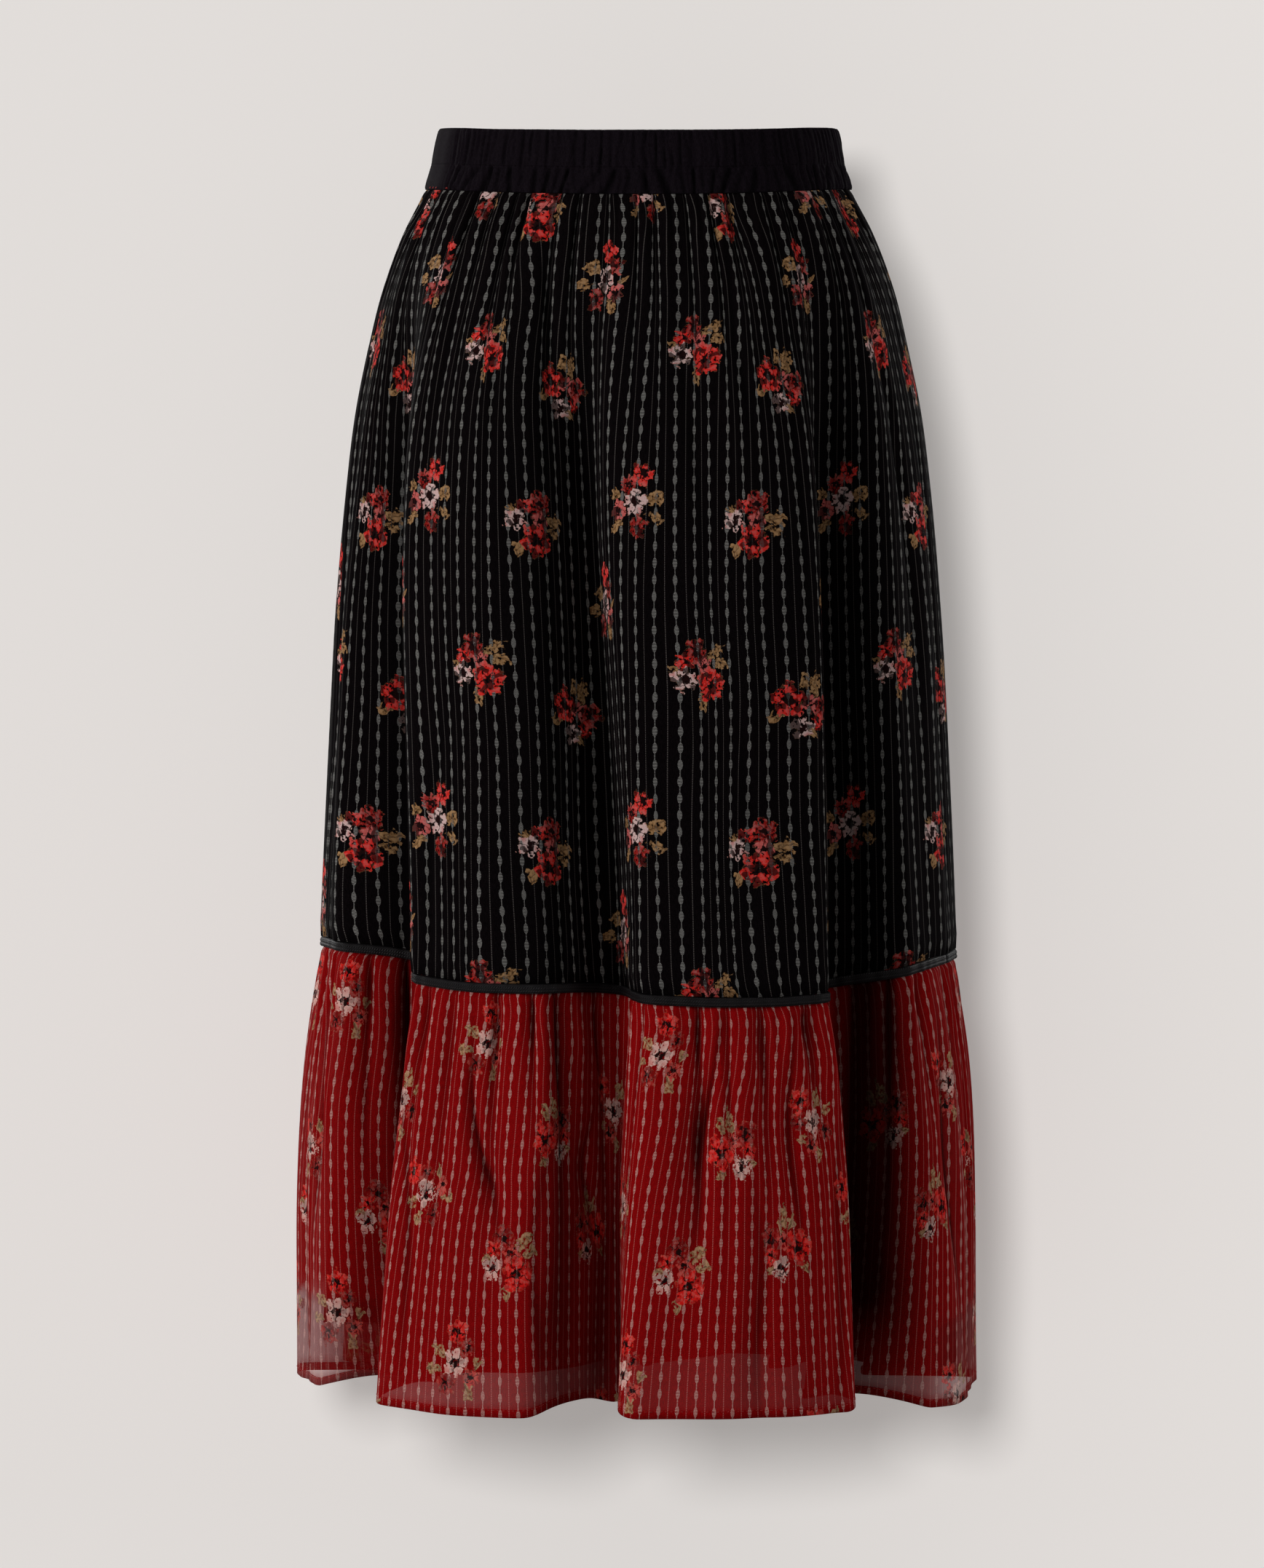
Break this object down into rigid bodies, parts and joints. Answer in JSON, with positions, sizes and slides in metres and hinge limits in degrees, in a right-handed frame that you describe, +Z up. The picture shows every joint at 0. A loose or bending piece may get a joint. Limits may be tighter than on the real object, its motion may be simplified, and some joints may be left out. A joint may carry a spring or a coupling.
{
  "type": "midi skirt",
  "caption": "Full midi skirt with an elastic waistband, a gathered body, a narrow tape, a gathered see-through flounce and a lining, hollow as worn.",
  "frame": {"origin": "centre of the waist opening at the waistband's mid-height, where the wearer holds the skirt up", "axes": "+Z up out of the waist opening, -Y the front of the skirt, +X the wearer's left"},
  "size_m": [0.4395, 0.3887, 0.8209],
  "materials": {
    "waistband_crepe": "matt black crepe gathered over elastic",
    "body_print": "black dobby-striped cloth with small floral bunches",
    "seam_tape": "black corded tape",
    "flounce_print": "half-sheer red dobby-striped cloth with floral bunches",
    "lining_cloth": "plain dark lining"
  },
  "bodies": {
    "root": {"waistband_front": "waistband_crepe", "waistband_back": "waistband_crepe", "skirt_front": "body_print", "skirt_back": "body_print", "tape_front": "seam_tape", "tape_back": "seam_tape", "flounce_front": "flounce_print", "flounce_back": "flounce_print", "lining_front": "lining_cloth", "lining_back": "lining_cloth"}
  },
  "joints": []
}
